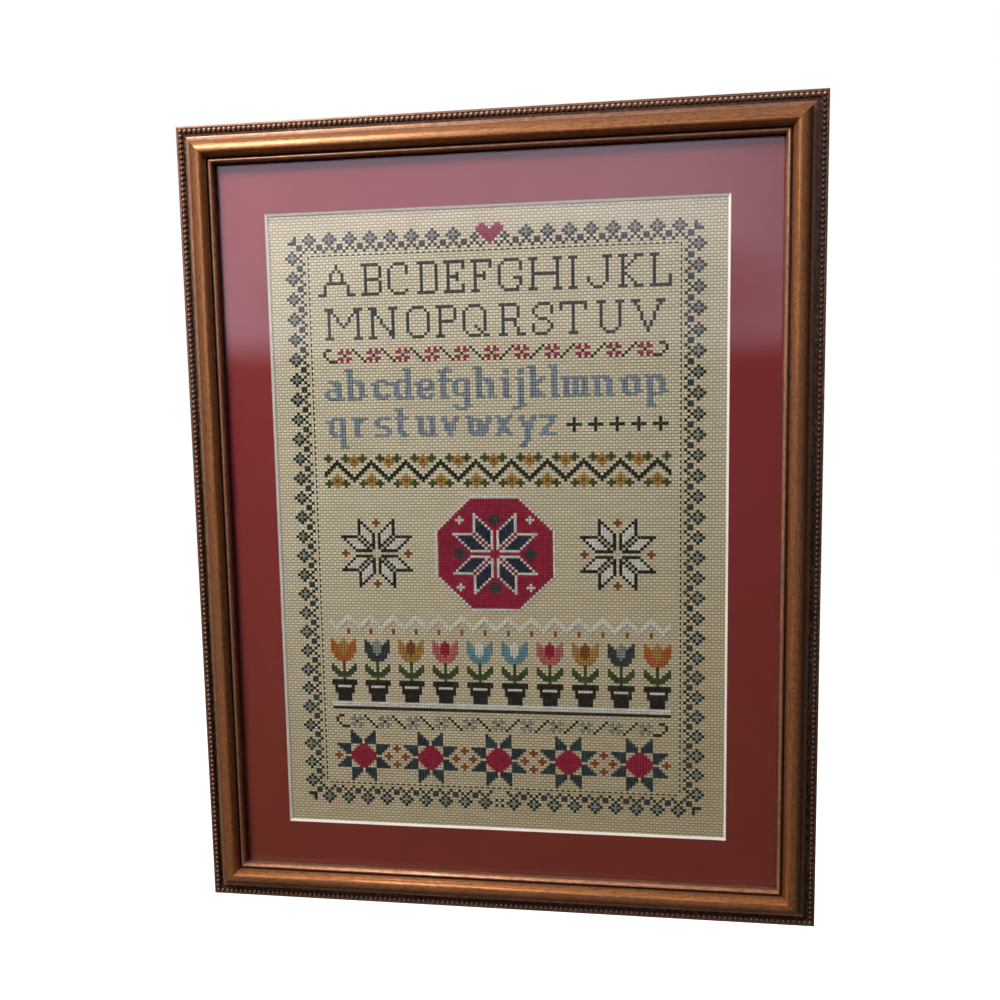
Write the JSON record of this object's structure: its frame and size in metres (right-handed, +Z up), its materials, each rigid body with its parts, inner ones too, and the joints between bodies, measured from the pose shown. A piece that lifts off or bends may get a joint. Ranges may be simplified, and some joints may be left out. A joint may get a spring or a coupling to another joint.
{
  "type": "cross stitch sampler in a wood frame",
  "caption": "Upright wall-hung sampler: embroidered linen on a board, behind a mat with a bevelled window and glass, in a mitred wood moulding with a beaded outer edge.",
  "frame": {"origin": "middle of the top rail's back face, where the sampler bears on the wall it hangs on", "axes": "+Z up along the sampler's height, +X to the right seen from the front, +Y to the wall, so the stitched face looks towards -Y"},
  "size_m": [0.387, 0.0188, 0.4945],
  "materials": {
    "frame_wood": "satin copper-brown varnish",
    "glass": "clear polished",
    "mat_paper": "matt burgundy paper face with a white core",
    "linen": "even-weave beige linen with cotton cross stitch",
    "board": "matt brown board"
  },
  "bodies": {
    "root": {"top_rail": "frame_wood", "right_rail": "frame_wood", "bottom_rail": "frame_wood", "left_rail": "frame_wood", "glass_pane": "glass", "mat_board": "mat_paper", "embroidered_cloth": "linen", "backing_board": "board"}
  },
  "joints": []
}
